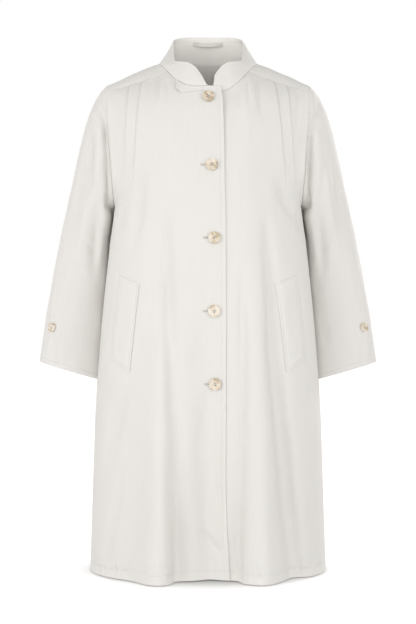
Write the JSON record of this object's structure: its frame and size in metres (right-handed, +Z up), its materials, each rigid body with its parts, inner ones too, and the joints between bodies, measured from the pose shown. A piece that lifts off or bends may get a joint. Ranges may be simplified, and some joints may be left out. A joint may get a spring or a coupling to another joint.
{
  "type": "long coat",
  "caption": "Long A-line coat in cream woven cotton with a standing collar, tucked shoulders, slanted welt pockets and a buttoned front and cuffs, filled out and empty.",
  "frame": {"origin": "midway between the two points where the shoulders meet the neck, where the coat is held up", "axes": "+X towards the wearer's left, +Y towards the back, +Z up; the front faces -Y"},
  "size_m": [0.7186, 0.361, 1.1261],
  "materials": {
    "cloth": "matte, closely woven",
    "horn": "polished, mottled"
  },
  "bodies": {
    "root": {"front_right": "cloth", "front_left": "cloth", "shoulder_yoke_right": "cloth", "shoulder_yoke_left": "cloth", "sleeve_front_right": "cloth", "sleeve_front_left": "cloth", "sleeve_back_right": "cloth", "sleeve_back_left": "cloth", "pocket_welt_right": "cloth", "pocket_welt_left": "cloth", "back": "cloth", "collar": "cloth", "throat_tab": "cloth", "hanger_loop": "cloth", "button_1": "horn", "button_2": "horn", "button_3": "horn", "button_4": "horn", "button_5": "horn", "cuff_button_right": "horn", "cuff_button_left": "horn"}
  },
  "joints": []
}
